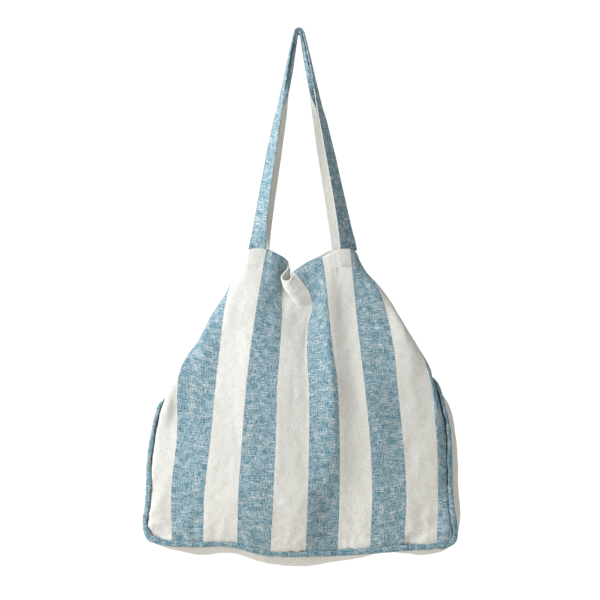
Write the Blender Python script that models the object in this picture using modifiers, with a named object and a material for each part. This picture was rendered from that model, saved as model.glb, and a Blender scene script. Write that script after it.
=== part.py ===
"""A striped linen laundry bag with side and bottom gussets, hanging by its two shoulder straps.

The row's origin is the crown of the hook under the strap loops. +X is to the bag's right,
-Y is the front and +Z is up. Every sheet of cloth is a lofted surface over the cloth's own
flat coordinates, thickened with Solidify.
"""
from math import cos, pi, sin

import bmesh
import bpy
from mathutils import Vector

MM = 0.001

# Flat cloth sizes
STRIPE = 0.055
PANEL_WIDTH = 9.3 * STRIPE
PANEL_HEIGHT = 0.475
GUSSET_WIDTH = 0.115
HEM_DEPTH = 0.030
STRAP_WIDTH = 0.028
STRAP_SIDE_INSET = 0.140

# Thicknesses and gaps
CLOTH = 1.2 * MM
STRAP_THICKNESS = 1.6 * MM
GAP = 0.3 * MM
LAYER = CLOTH + GAP
PIPING_RADIUS = 2.2 * MM
SEAM_INSET = 6 * MM
GUSSET_STEPS = 6
CORNER_INSET = 1.6 * MM
THREAD_RADIUS = 0.5 * MM
THREAD_LIFT = CLOTH / 2 + 2 * GAP + THREAD_RADIUS
HEM_LINE = PANEL_HEIGHT - HEM_DEPTH + 3 * MM
# The box stitch's distance from the strap's edges, and its lowest and highest lines
BOX_INSET = 3 * MM
BOX_LOW = PANEL_HEIGHT - HEM_DEPTH + 7 * MM
BOX_HIGH = PANEL_HEIGHT - 4 * MM

# Straps: x at the hem, and where they hang
HEM_Y = 0.0275
HEM_Z = -0.352
STRAP_LEFT_X = -0.0683
STRAP_RIGHT_X = 0.0810
STRAP_RIGHT_INSET = PANEL_WIDTH - 0.1425
HOOK_RADIUS = 0.0045
STRAP_TOP_Y = 0.0155
STRAP_START_Z = HEM_Z + 4.5 * MM
# The share of a strap's length on each side of its middle that lies on the hook
CROWN_SHARE = 0.04
LEG_STEPS = 14
CROWN_STEPS = 3
TWIST_POWER = 1.6
HINGE_Y = HEM_Y + 2.2 * MM
HINGE_Z = HEM_Z + 3.5 * MM

# The front panel hangs in soft columns. Each is (distance from the left seam, points), and
# each point is (distance up the cloth, x, y, z), all in millimetres. Above the fold that runs
# from a strap down to the side seam, a column turns back behind the front.
FRONT_COLUMNS = [
    (0, [(0, -239, -54, -818), (30, -246, -56, -793), (90, -242, -57, -734),
         (180, -235, -52, -645), (225, -222, -43, -601), (255, -206, -29, -588),
         (300, -182, -22, -560), (350, -147, -19, -522), (410, -106, -16, -488),
         (475, -62, -15, -462)]),
    (22, [(0, -221, -55, -822), (30, -226, -58, -794), (90, -226, -60, -736),
          (180, -217, -55, -646), (225, -212, -50, -602), (255, -211, -40, -574),
          (300, -187, -23, -541), (350, -155, -17, -505), (410, -114, -13, -470),
          (475, -71, -13, -443)]),
    (44, [(0, -204, -55, -826), (90, -205, -60, -738), (180, -196, -56, -646),
          (260, -195, -46, -560), (285, -186, -37, -531), (340, -158, -23, -494),
          (410, -118, -13, -455), (475, -80, -12, -425)]),
    (70, [(0, -180, -55, -828), (90, -179, -61, -740), (180, -170, -57, -648),
          (260, -166, -50, -566), (320, -157, -40, -502), (355, -146, -29, -467),
          (395, -125, -20, -434), (475, -84, -12, -402)]),
    (99, [(0, -154, -55, -832), (90, -151, -62, -742), (180, -141, -58, -650),
          (260, -134, -52, -570), (320, -128, -47, -507), (370, -121, -41, -456),
          (420, -110, -29, -409), (475, -90, -14, -378)]),
    (126, [(0, -127, -55, -833), (90, -124, -62, -743), (180, -115, -59, -652),
           (260, -109, -53, -572), (320, -101, -47, -510), (370, -95, -41, -458),
           (420, -89, -34, -407), (475, -80, -27, -353)]),
    (154, [(0, -99, -55, -835), (90, -97, -62, -745), (180, -91, -59, -654),
           (260, -85, -53, -574), (320, -78, -47, -512), (370, -71, -41, -460),
           (420, -63, -34, -408), (475, -53, -27, -351)]),
    (209, [(0, -46, -55, -839), (90, -41, -62, -749), (180, -37, -60, -658),
           (260, -35, -53, -577), (320, -32, -46, -516), (370, -29, -41, -465),
           (420, -27, -35, -416), (475, -19, -26, -369)]),
    (236, [(0, -18, -55, -840), (90, -13, -62, -750), (180, -10, -60, -659),
           (260, -9, -52, -578), (320, -10, -43, -517), (370, -9, -32, -467),
           (420, -14, -22, -421), (475, -9, -14, -382)]),
    (264, [(0, 10, -55, -840), (90, 14, -62, -750), (180, 16, -60, -659),
           (260, 16, -53, -578), (320, 13, -45, -517), (370, 13, -38, -467),
           (420, 7, -30, -420), (475, 7, -19, -377)]),
    (319, [(0, 62, -55, -838), (90, 65, -62, -748), (180, 65, -59, -657),
           (260, 62, -53, -576), (320, 55, -47, -514), (370, 49, -41, -463),
           (420, 45, -34, -413), (475, 36, -26, -361)]),
    (354, [(0, 95, -55, -837), (90, 98, -62, -747), (180, 95, -59, -655),
           (260, 88, -53, -575), (320, 81, -47, -512), (370, 75, -41, -460),
           (420, 69, -34, -408), (475, 62, -27, -351)]),
    (383, [(0, 123, -55, -835), (90, 126, -62, -745), (180, 122, -58, -653),
           (260, 114, -53, -573), (320, 107, -47, -510), (370, 101, -41, -458),
           (420, 96, -34, -407), (475, 89, -27, -353)]),
    (429, [(0, 169, -55, -832), (90, 172, -61, -742), (180, 166, -57, -650),
           (260, 158, -51, -570), (320, 152, -46, -508), (370, 142, -40, -456),
           (420, 125, -33, -410), (475, 98, -14, -378)]),
    (456, [(0, 195, -55, -829), (90, 197, -60, -740), (180, 193, -57, -648),
           (260, 184, -50, -567), (320, 177, -43, -504), (365, 161, -35, -459),
           (410, 138, -24, -421), (475, 96, -12, -399)]),
    (484, [(0, 221, -55, -828), (90, 223, -59, -737), (180, 220, -56, -645),
           (260, 211, -47, -563), (310, 193, -37, -516), (360, 165, -22, -478),
           (420, 127, -15, -446), (475, 93, -12, -420)]),
    (498, [(0, 234, -55, -825), (30, 235, -58, -796), (90, 232, -60, -736),
           (180, 228, -57, -645), (240, 216, -51, -587), (290, 206, -38, -542),
           (330, 181, -23, -515), (370, 154, -18, -489), (420, 121, -14, -461),
           (475, 85, -13, -437)]),
    (511.5, [(0, 246, -54, -821), (30, 247, -56, -795), (90, 243, -57, -734),
             (180, 241, -52, -645), (225, 232, -48, -601), (262, 221, -42, -566),
             (300, 197, -26, -546), (340, 171, -21, -524), (380, 142, -19, -499),
             (425, 111, -16, -475), (475, 78, -15, -455)]),
]

# The middle line of each side gusset: (distance up the cloth, x, z), in millimetres
LEFT_MIDDLE = [(0, -248, -838), (90, -256, -750), (180, -252, -662), (240, -236, -606),
               (300, -197, -590), (360, -148, -568), (420, -103, -545), (475, -64, -520)]
RIGHT_MIDDLE = [(0, 255, -840), (90, 257, -750), (180, 257, -662), (240, 248, -604),
                (300, 213, -582), (360, 166, -564), (420, 120, -543), (475, 80, -518)]

# How far the middle of the bottom gusset sags below the front edge: (across, sag), in millimetres
BOTTOM_SAG = [(0, 20), (60, 18), (150, 20), (256, 22), (360, 20), (450, 18), (511.5, 19)]

FRONT = -1
REAR = 1


def spline(knots, points, at):
    """A smooth curve through points at uneven knots, with tangents from each point's neighbours."""
    last = len(knots) - 1
    i = min(max(sum(1 for k in knots if k <= at) - 1, 0), last - 1)
    tangents = []
    for j in (i, i + 1):
        a, b = max(j - 1, 0), min(j + 1, last)
        tangents.append((points[b] - points[a]) / (knots[b] - knots[a]))
    step = knots[i + 1] - knots[i]
    f = (at - knots[i]) / step
    h00 = 2 * f**3 - 3 * f**2 + 1
    h10 = f**3 - 2 * f**2 + f
    h01 = 3 * f**2 - 2 * f**3
    h11 = f**3 - f**2
    ends = points[i] * h00 + points[i + 1] * h01
    return ends + (tangents[0] * h10 + tangents[1] * h11) * step


def column_point(points, up):
    """A point of one hanging column, at a distance up the cloth in metres."""
    knots = [p[0] * MM for p in points]
    return spline(knots, [Vector(p[1:]) * MM for p in points], up)


def panel_point(across, up, side=FRONT):
    """A point of the front or rear panel, from its flat coordinates in metres."""
    knots = [distance * MM for distance, _ in FRONT_COLUMNS]
    row = [column_point(points, up) for _, points in FRONT_COLUMNS]
    p = spline(knots, row, across)
    return Vector((p.x, -side * p.y, p.z))


def gusset_point(middle, seam_across, deep, up):
    """A point of a side gusset: deep runs from the front seam to the rear seam."""
    share = deep / GUSSET_WIDTH
    front = panel_point(seam_across, up, FRONT)
    rear = panel_point(seam_across, up, REAR)
    centre = column_point([(t, x, 0, z) for t, x, z in middle], up)
    bulge = 4 * share * (1 - share)
    return front.lerp(rear, share) + (centre - (front + rear) / 2) * bulge


def bottom_point(across, deep):
    """A point of the bottom gusset, which sags between the front and rear seams."""
    share = deep / GUSSET_WIDTH
    front = panel_point(across, 0, FRONT)
    rear = panel_point(across, 0, REAR)
    knots = [a * MM for a, _ in BOTTOM_SAG]
    sag = spline(knots, [Vector((0, 0, -s)) * MM for _, s in BOTTOM_SAG], across)
    return front.lerp(rear, share) + sag * 4 * share * (1 - share)


def offset_point(surface, a, b, distance):
    """A point of surface(a, b), moved along the surface's normal."""
    small = 0.5 * MM
    da = surface(a + small, b) - surface(a - small, b)
    db = surface(a, b + small) - surface(a, b - small)
    return surface(a, b) + da.cross(db).normalized() * distance


def spread(low, high, count):
    """count + 1 evenly spaced values from low to high."""
    return [low + (high - low) * i / count for i in range(count + 1)]


def between(marks, low, high):
    """low, high and every mark that lies between them."""
    return [low] + [m for m in marks if low + 2 * MM < m < high - 2 * MM] + [high]


# ---- Making objects ----


def clear_scene():
    for ob in list(bpy.data.objects):
        bpy.data.objects.remove(ob, do_unlink=True)


def make_material(name, color, roughness):
    material = bpy.data.materials.new(name)
    material.use_nodes = True
    shader = material.node_tree.nodes["Principled BSDF"]
    shader.inputs["Base Color"].default_value = (*color, 1)
    shader.inputs["Roughness"].default_value = roughness
    shader.inputs["Metallic"].default_value = 0
    material.diffuse_color = (*color, 1)
    return material


def add_object(name, data, material, parent=None):
    ob = bpy.data.objects.new(name, data)
    data.materials.append(material)
    PARTS.objects.link(ob)
    ob.parent = parent
    return ob


def sheet(name, surface, rows, columns, material, thickness=CLOTH, parent=None):
    """A lofted sheet of cloth over a grid of flat coordinates, thickened evenly to both sides."""
    start = parent.location if parent else Vector()
    bm = bmesh.new()
    grid = [[bm.verts.new(surface(a, b) - start) for a in columns] for b in rows]
    for low, high in zip(grid, grid[1:]):
        for i in range(len(columns) - 1):
            bm.faces.new((low[i], low[i + 1], high[i + 1], high[i]))
    mesh = bpy.data.meshes.new(name)
    bm.to_mesh(mesh)
    bm.free()
    mesh.shade_smooth()
    ob = add_object(name, mesh, material, parent)
    solid = ob.modifiers.new("cloth", "SOLIDIFY")
    solid.thickness = thickness
    solid.offset = 0
    return ob


def tube(name, points, radius, material, closed=False):
    """A bead of sewn cloth or thread along a line of points."""
    curve = bpy.data.curves.new(name, "CURVE")
    curve.dimensions = "3D"
    curve.bevel_depth = radius
    curve.bevel_resolution = 1
    curve.use_fill_caps = not closed
    line = curve.splines.new("POLY")
    line.points.add(len(points) - 1)
    for target, p in zip(line.points, points):
        target.co = (*p, 1)
    line.use_cyclic_u = closed
    return add_object(name, curve, material)


# ---- The sheets ----

PANEL_COLUMNS = [m * MM for m in (22, 44, 71, 99, 112, 126, 140, 154, 181, 209, 222, 236, 250,
                                  264, 291, 319, 336, 354, 369, 383, 406, 429, 456, 484, 498)]
PANEL_ROWS = [m * MM for m in (30, 60, 90, 135, 180, 202, 225, 252, 280, 310, 340, 370, 400,
                               425)]
HEM_ROWS = [m * MM for m in (445, 448, 461)]


def make_panels():
    """The striped front and rear panels."""
    columns = between(PANEL_COLUMNS, SEAM_INSET, PANEL_WIDTH - SEAM_INSET)
    rows = between(PANEL_ROWS + HEM_ROWS, SEAM_INSET, PANEL_HEIGHT)
    for name, side in (("front_panel", FRONT), ("rear_panel", REAR)):
        flipped = columns[::-1] if side == REAR else columns
        sheet(name, lambda a, b, s=side: panel_point(a, b, s), rows, flipped, STRIPED)


def make_gussets():
    """The two side gussets and the bottom gusset, of plain white cloth."""
    deep = spread(SEAM_INSET, GUSSET_WIDTH - SEAM_INSET, GUSSET_STEPS)
    rows = between(PANEL_ROWS + HEM_ROWS, CORNER_INSET, PANEL_HEIGHT)
    sheet("left_gusset", left_point, rows, deep[::-1], WHITE)
    sheet("right_gusset", right_point, rows, deep, WHITE)
    columns = between(PANEL_COLUMNS[::2], CORNER_INSET, PANEL_WIDTH - CORNER_INSET)
    sheet("bottom_gusset", bottom_point, deep[::-1], columns, WHITE)


def left_point(deep, up):
    return gusset_point(LEFT_MIDDLE, 0, deep, up)


def right_point(deep, up):
    return gusset_point(RIGHT_MIDDLE, PANEL_WIDTH, deep, up)


def make_hems():
    """The turned-in layer of each hem, inside its panel with room for the strap ends between."""
    rows = HEM_ROWS + [PANEL_HEIGHT - 1 * MM]
    columns = between(PANEL_COLUMNS, 2 * SEAM_INSET, PANEL_WIDTH - 2 * SEAM_INSET)
    for name, side in (("front_hem", FRONT), ("rear_hem", REAR)):
        flat = lambda a, b, s=side: panel_point(a, b, s)
        inner = lambda a, b, f=flat, s=side: offset_point(f, a, b, s * 2 * LAYER)
        sheet(name, inner, rows, columns, STRIPED)
    deep = spread(SEAM_INSET, GUSSET_WIDTH - SEAM_INSET, GUSSET_STEPS)
    deep = between(deep, 2 * SEAM_INSET, GUSSET_WIDTH - 2 * SEAM_INSET)
    for name, flat, inward in (("left_hem", left_point, 1), ("right_hem", right_point, -1)):
        inner = lambda a, b, f=flat, s=inward: offset_point(f, a, b, s * 1.5 * LAYER)
        sheet(name, inner, rows, deep, WHITE)


def seam_line(side):
    """The line of the seam round one panel: down the left, along the bottom and up the right."""
    ups = between(PANEL_ROWS, 0, PANEL_HEIGHT)
    alongs = between(PANEL_COLUMNS, 0, PANEL_WIDTH)
    left = [panel_point(0, up, side) for up in ups[:0:-1]]
    bottom = [panel_point(across, 0, side) for across in alongs]
    right = [panel_point(PANEL_WIDTH, up, side) for up in ups[1:]]
    return left + bottom + right


def make_piping():
    """The raised blue seam that joins each panel to the gussets."""
    tube("front_piping", seam_line(FRONT), PIPING_RADIUS, BLUE)
    tube("rear_piping", seam_line(REAR), PIPING_RADIUS, BLUE)


# ---- The straps ----


def strap_path(share, side):
    """The middle line of a strap and its width direction; share runs 0 to 1, left hem to right."""
    start = Vector((STRAP_LEFT_X, -HEM_Y, STRAP_START_Z))
    end = Vector((STRAP_RIGHT_X, -HEM_Y, STRAP_START_Z))
    top_z = -HOOK_RADIUS
    radius = HOOK_RADIUS + STRAP_THICKNESS / 2
    if abs(share - 0.5) < CROWN_SHARE:
        turn = (share - 0.5) / CROWN_SHARE * pi / 2
        p = Vector((sin(turn) * radius, -STRAP_TOP_Y, top_z + cos(turn) * radius))
        return mirrored(p, side), Vector((0, side, 0))
    hem = start if share < 0.5 else end
    left = -1 if share < 0.5 else 1
    climb = (share if share < 0.5 else 1 - share) / (0.5 - CROWN_SHARE)
    p = hem.lerp(Vector((left * radius, -STRAP_TOP_Y, top_z)), climb)
    twist = pi / 2 * (1 - (1 - climb) ** TWIST_POWER)
    wide = Vector((-left * cos(twist), -sin(twist), 0))
    return mirrored(p, side), mirrored(wide, side)


def mirrored(p, side):
    return Vector((p.x, -side * p.y, p.z))


def make_strap(name, side):
    """One shoulder strap, hinged where it leaves the hem."""
    hinge = bpy.data.objects.new(name + "_hinge", None)
    hinge.location = (0, side * HINGE_Y, HINGE_Z)
    PARTS.objects.link(hinge)

    def surface(wide, share):
        p, direction = strap_path(share, side)
        return p + direction * wide

    leg = spread(0, 0.5 - CROWN_SHARE, LEG_STEPS)
    crown = spread(0.5 - CROWN_SHARE, 0.5 + CROWN_SHARE, 2 * CROWN_STEPS)[1:-1]
    shares = leg + crown + [1 - s for s in leg[::-1]]
    widths = spread(-STRAP_WIDTH / 2, STRAP_WIDTH / 2, 2)
    sheet(name, surface, shares, widths[::side], BLUE, STRAP_THICKNESS, hinge)


def strap_ends():
    """Each strap end's name, panel side and distance from the left seam."""
    for row, side in (("front", FRONT), ("rear", REAR)):
        yield row + "_left", side, STRAP_SIDE_INSET
        yield row + "_right", side, STRAP_RIGHT_INSET


def make_strap_ends():
    """The four ends of the straps, tucked between the panel and the turned-in hem."""
    for name, side, middle in strap_ends():
        half = STRAP_WIDTH / 2 - 0.5 * MM
        flat = lambda a, b, s=side: panel_point(a, b, s)
        inner = lambda a, b, f=flat, s=side: offset_point(f, a, b, s * LAYER)
        rows = spread(HEM_LINE, PANEL_HEIGHT, 3)
        sheet(name + "_strap_end", inner, rows, spread(middle - half, middle + half, 2), BLUE)


def make_stitches():
    """The thread of each strap end's box stitch, outside the panel, and of each hem."""
    for name, side, middle in strap_ends():
        half = STRAP_WIDTH / 2 - BOX_INSET
        flat = lambda a, b, s=side: panel_point(a, b, s)
        corners = [(middle - half, BOX_LOW), (middle, BOX_LOW), (middle + half, BOX_LOW),
                   (middle + half, BOX_HIGH), (middle, BOX_HIGH), (middle - half, BOX_HIGH)]
        line = [offset_point(flat, a, b, -side * THREAD_LIFT) for a, b in corners]
        tube(name + "_box_stitch", line, THREAD_RADIUS, THREAD, closed=True)
    for name, side in (("front_hem_stitch", FRONT), ("rear_hem_stitch", REAR)):
        flat = lambda a, b, s=side: panel_point(a, b, s)
        line = [offset_point(flat, a, HEM_LINE, -side * THREAD_LIFT) for a in PANEL_COLUMNS]
        tube(name, line, THREAD_RADIUS, THREAD)


clear_scene()
PARTS = bpy.data.collections.new("laundry_bag")
bpy.context.scene.collection.children.link(PARTS)
STRIPED = make_material("striped_linen", (0.52, 0.62, 0.66), 0.9)
WHITE = make_material("white_linen", (0.80, 0.78, 0.71), 0.9)
BLUE = make_material("blue_linen", (0.20, 0.38, 0.50), 0.9)
THREAD = make_material("thread", (0.70, 0.70, 0.66), 0.8)

make_panels()
make_gussets()
make_hems()
make_piping()
make_strap_ends()
make_stitches()
make_strap("front_strap", FRONT)
make_strap("rear_strap", REAR)
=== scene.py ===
"""The looks of a striped linen laundry bag that hangs by its two shoulder straps.

Every sheet of cloth is a lofted surface over the cloth's own flat coordinates, in metres: across
from the left seam and up from the bottom seam. The weave and the stripes follow those coordinates.
"""
from math import atan, cos, pi, radians, sin, sqrt

import bpy
import numpy as np
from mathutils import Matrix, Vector, noise


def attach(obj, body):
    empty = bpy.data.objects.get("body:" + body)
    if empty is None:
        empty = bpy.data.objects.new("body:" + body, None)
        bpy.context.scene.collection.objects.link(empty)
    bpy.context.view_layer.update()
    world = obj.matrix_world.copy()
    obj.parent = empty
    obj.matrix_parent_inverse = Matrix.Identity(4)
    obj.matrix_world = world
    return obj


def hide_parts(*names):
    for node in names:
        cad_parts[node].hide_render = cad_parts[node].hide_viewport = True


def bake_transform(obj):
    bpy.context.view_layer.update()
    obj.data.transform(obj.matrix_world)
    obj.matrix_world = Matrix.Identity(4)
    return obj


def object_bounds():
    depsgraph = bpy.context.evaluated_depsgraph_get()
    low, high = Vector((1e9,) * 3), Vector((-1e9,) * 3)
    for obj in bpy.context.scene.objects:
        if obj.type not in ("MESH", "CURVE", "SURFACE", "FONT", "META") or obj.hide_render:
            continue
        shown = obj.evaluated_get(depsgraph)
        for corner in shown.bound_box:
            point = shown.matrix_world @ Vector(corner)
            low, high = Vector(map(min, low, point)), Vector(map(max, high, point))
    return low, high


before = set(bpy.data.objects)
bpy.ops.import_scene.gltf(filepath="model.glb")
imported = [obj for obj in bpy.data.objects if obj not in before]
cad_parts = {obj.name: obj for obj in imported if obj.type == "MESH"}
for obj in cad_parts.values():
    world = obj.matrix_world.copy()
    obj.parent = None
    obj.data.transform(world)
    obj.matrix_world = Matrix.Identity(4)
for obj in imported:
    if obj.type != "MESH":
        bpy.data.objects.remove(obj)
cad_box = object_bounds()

MM = 0.001
FRONT = -1
REAR = 1

# Flat cloth sizes
STRIPE = 0.055
PANEL_WIDTH = 9.3 * STRIPE
PANEL_HEIGHT = 0.475
GUSSET_WIDTH = 0.115
HEM_DEPTH = 0.030
FIRST_STRIPE = 0.8 * STRIPE
STRAP_WIDTH = 0.028
STRAP_INSETS = {"left": 0.140, "right": PANEL_WIDTH - 0.1425}

# Thicknesses
CLOTH = 0.9 * MM
STRAP_THICKNESS = 2.0 * MM
THREAD_RADIUS = 0.28 * MM

HINGE_Y = 0.0297

# ---- The hanging shape ----
# Columns of the front panel: (across, [(up, x, y, z), ...]) in millimetres. Above the fold that
# runs from a strap down to the side seam, a column turns back behind the front. Near the middle of
# the hem the cloth makes a small roll that lies over itself. A point with only two numbers is
# (up, y): it lies on the straight line between its neighbours, seen from the front.
FRONT_COLUMNS = [
    (0, [(0, -238, -53, -815), (12, -244, -51.5, -807), (30, -247, -50.5, -789),
         (60, -244, -50.5, -764), (90, -242, -50, -734), (135, -241, -47, -690),
         (180, -235, -43, -645), (225, -224, -43, -602), (255, -209, -29, -587),
         (300, -186, -22, -560), (350, -150, -19, -522), (410, -106, -16, -488),
         (475, -62, -15, -462)]),
    (22, [(0, -222, -52, -820), (30, -226, -53, -791), (90, -226, -53.5, -733),
         (180, -217, -46.5, -646), (225, -212, -50, -602), (255, -211, -39, -574),
         (300, -187, -23, -541), (350, -155, -17, -505), (410, -114, -13, -470),
         (475, -71, -13, -443)]),
    (44, [(0, -204, -52, -823), (30, -53), (90, -205, -56, -736), (180, -196, -49.5, -646),
         (260, -195, -43, -560), (285, -186, -37, -531), (340, -158, -22, -494),
         (410, -118, -13, -455), (475, -80, -12, -425)]),
    (70, [(0, -180, -52, -824), (30, -56), (90, -179, -59.7, -738), (180, -170, -53.5, -648),
         (260, -166, -47, -566), (320, -157, -40, -502), (355, -146, -29, -467),
         (395, -125, -20, -434), (475, -84, -12, -402)]),
    (99, [(0, -154, -52, -824.5), (30, -58.8), (90, -151, -63.8, -740), (180, -141, -58.7, -650),
         (260, -134, -51, -570), (320, -127, -44, -507), (370, -121, -38, -456),
         (420, -110, -26.5, -409), (475, -93, -14, -378)]),
    (126, [(0, -127, -52, -823), (30, -60), (90, -124, -66, -741), (180, -115, -61, -652),
         (260, -109, -55.5, -572), (320, -101, -49, -510), (370, -95, -42, -458),
         (420, -88, -33, -406), (475, -82, -27, -353)]),
    (154, [(0, -99, -52, -826), (30, -61.5), (90, -97, -68.5, -744), (180, -91, -64, -654),
         (260, -85, -60, -574), (320, -78, -54, -512), (370, -71, -46, -460),
         (420, -63, -37, -408), (475, -53, -28, -351)]),
    (181, [(0, -72, -52, -834), (30, -63.5), (90, -69, -71, -747), (180, -64, -66.5, -656),
         (260, -60, -62.5, -575), (320, -54, -54.5, -513), (370, -49, -43, -461),
         (415, -44, -35, -417), (445, -40, -34, -388), (475, -35, -30, -359)]),
    (200, [(0, -54, -52, -838), (30, -64.5), (90, -50, -72, -748), (180, -46, -68, -657),
         (260, -43, -64, -576), (320, -39, -54.5, -514), (380, -36, -42, -460),
         (410, -34, -33, -428), (435, -31, -31, -406), (455, -28, -26, -386),
         (475, -23, -27, -366)]),
    (209, [(0, -46, -52, -839), (30, -65), (90, -41, -72.5, -749), (180, -37, -69, -658),
         (260, -35, -64.5, -577), (320, -31, -54, -517), (380, -28, -41, -464),
         (410, -28, -33, -434), (435, -28, -27, -411), (455, -24, -22, -391),
         (475, -18, -24, -372)]),
    (214, [(0, -41, -52, -839), (30, -65), (90, -36, -72.5, -749), (180, -32, -69, -658),
         (260, -30, -64, -577), (320, -27, -53.5, -517), (380, -24, -40.5, -466),
         (410, -23, -32.5, -437), (435, -23, -26, -414), (455, -16, -21.5, -394),
         (475, -15.5, -24, -377)]),
    (220, [(0, -35, -52, -839), (30, -65), (90, -30, -72.5, -749), (180, -26, -68.5, -659),
         (260, -24, -63.5, -578), (320, -21, -53, -518), (380, -19, -40, -468),
         (410, -17, -33, -439), (435, -18, -25, -418), (455, -15.5, -22.5, -397),
         (475, -19, -27, -383)]),
    (229, [(0, -26, -52, -840), (30, -65), (90, -20, -72.3, -750), (180, -17, -68, -659),
         (260, -15, -63, -578), (320, -14, -52, -518), (380, -12, -39, -469),
         (410, -8, -33, -442), (435, -13, -28, -424), (455, -23, -31, -407),
         (475, -28, -33, -394)]),
    (236, [(0, -18, -52, -840), (30, -65), (90, -13, -72, -750), (180, -10, -67.5, -659),
         (260, -9, -62, -578), (320, -8, -51.5, -518), (380, -6, -38, -470), (410, -2, -33, -445),
         (435, -11, -33, -430), (455, -23, -36, -413), (475, -26, -37, -401)]),
    (243, [(0, -11, -52, -840), (30, -64.8), (90, -6, -71.5, -750), (180, -3, -67, -659),
         (260, -2, -61.5, -578), (320, -2, -51, -518), (380, 0, -37.5, -471), (410, 5, -33, -446),
         (435, -4, -37, -433), (455, -15, -39, -417), (475, -18, -39, -402)]),
    (251, [(0, -3, -52, -840), (30, -64.5), (90, 2, -71.5, -750), (135, -69),
         (180, 4, -66.5, -659), (260, 4, -61, -578), (320, 4, -50, -518), (380, 6, -37, -472),
         (410, 11, -33, -445), (435, 4, -37, -430), (455, -7, -38, -412),
         (475, -11.5, -36, -396.5)]),
    (264, [(0, 10, -52, -840), (30, -63), (90, 14, -70.2, -750), (135, -68.3),
         (180, 16, -66, -659), (260, 16, -60, -578), (320, 13, -49, -518), (380, 15, -36, -473),
         (410, 21, -33, -443), (435, 17, -34, -421), (455, 5, -33, -403),
         (475, -7.5, -31, -388)]),
    (291, [(0, 36, -52, -839), (30, -57), (90, 40, -63.8, -749), (135, -71), (180, 42, -70, -658),
         (260, 41, -68, -577), (320, 36, -56, -516), (370, 35, -44.5, -467), (420, 33, -37, -428),
         (450, 24, -31, -400), (475, 14, -26, -374)]),
    (305, [(0, 49, -52, -838.5), (30, -55), (90, 52.5, -61.5, -748), (135, -70.5),
         (180, 54, -71, -657), (260, 52, -73, -576), (320, 46, -61.5, -514),
         (370, 42.5, -48.5, -465), (420, 40, -40, -422), (450, 34, -33, -394),
         (475, 26, -27, -368)]),
    (319, [(0, 62, -52, -838), (30, -54), (90, 65, -60.3, -748), (135, -67.5),
         (180, 65, -68.5, -657), (260, 62, -70, -576), (320, 55, -60, -514), (370, 49, -49, -463),
         (420, 45, -41, -417), (450, 42, -34, -389), (475, 38, -28, -363)]),
    (354, [(0, 95, -52, -836), (30, -53.5), (90, 98, -58.5, -747), (180, 95, -62.8, -655),
         (260, 88, -61.5, -575), (320, 81, -51, -512), (370, 75, -39.7, -460),
         (420, 69, -34.2, -408), (475, 62, -28, -352)]),
    (383, [(0, 123, -52, -834), (30, -54.5), (90, 126, -59.5, -745), (180, 122, -61.8, -653),
         (260, 114, -60.8, -573), (320, 107, -50.5, -510), (370, 101, -39.7, -458),
         (420, 96, -33.5, -407), (475, 89, -28, -353)]),
    (429, [(0, 169, -52, -830), (30, -55.5), (90, 172, -61, -742), (180, 166, -61, -650),
         (260, 158, -59, -570), (320, 152, -51.5, -508), (370, 142, -41, -456),
         (420, 125, -33, -406), (475, 98, -14, -378)]),
    (456, [(0, 195, -52, -828.5), (30, -55), (90, 197, -59.3, -740), (180, 193, -59.3, -648),
         (260, 184, -57, -567), (320, 177, -50, -504), (365, 161, -39, -459),
         (410, 138, -25, -421), (475, 96, -12, -399)]),
    (484, [(0, 221, -52, -827), (30, -54), (90, 223, -56, -737), (180, 220, -55.5, -645),
         (260, 211, -51, -563), (310, 194, -41, -514), (360, 168, -24, -478),
         (420, 128, -15, -446), (475, 93, -12, -420)]),
    (498, [(0, 234, -52, -826), (30, 235, -57.5, -796), (90, 232, -54, -736),
         (180, 228, -53, -645), (240, 217, -54, -587), (290, 208, -41, -540),
         (330, 181, -23, -515), (370, 154, -18, -489), (420, 121, -14, -461),
         (475, 85, -13, -437)]),
    (511.5, [(0, 246, -53, -820), (12, 250, -54, -812), (30, 250, -56, -795),
         (60, 245, -57, -764), (90, 243, -51, -734), (180, 241, -49, -645), (225, 232, -48, -601),
         (262, 221, -42, -566), (300, 197, -26, -546), (340, 171, -21, -524),
         (380, 142, -19, -499), (425, 111, -16, -475), (475, 78, -15, -455)]),
]

# The middle line of each side gusset: (up, x, z) in millimetres
GUSSET_MIDDLES = {
    "left": [(0, -244, -822), (45, -255, -786), (90, -257, -744), (180, -252, -662),
             (240, -236, -606), (300, -197, -590), (360, -148, -568), (420, -103, -545),
             (475, -64, -520)],
    "right": [(0, 253, -828), (45, 262, -790), (90, 260, -744), (180, 255, -655),
              (240, 243, -600), (300, 208, -582), (360, 166, -564), (420, 120, -543),
              (475, 80, -518)],
}
INWARD = {"left": 1, "right": -1}

# How far the middle of the bottom gusset sags below the front seam: (across, sag) in millimetres
BOTTOM_SAG = [(0, 6), (40, 13), (90, 22), (150, 20), (210, 22), (256, 25), (300, 22),
              (350, 16), (400, 8), (430, 14), (460, 18), (490, 15), (511.5, 7)]
# How far the side gussets' lower corners stand out beyond the front seam, to the left and right
CORNER_OUT = (6 * MM, 7 * MM)

# Each strap: x at its left and right hem, and how far its left and right legs bow outwards
STRAP_ENDS = {FRONT: (-0.0683, 0.0810), REAR: (-0.0640, 0.0690)}
STRAP_BOWS = {FRONT: (0.0045, 0.0030), REAR: (-0.0004, -0.0012)}
STRAP_TOP_Y = 0.0155
STRAP_FOOT = (0.0275, -0.354)
# The strap's middle line on the hook
CROWN_RADIUS = 0.0060
CROWN_Z = 0.0012
# How far a leg has turned edge-on: (share of the way up, degrees)
STRAP_TWIST = [(0, 0), (0.022, 5), (0.07, 29), (0.153, 40), (0.305, 50), (0.456, 56), (0.57, 63),
               (0.69, 68), (0.87, 76), (1, 82)]
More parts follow.
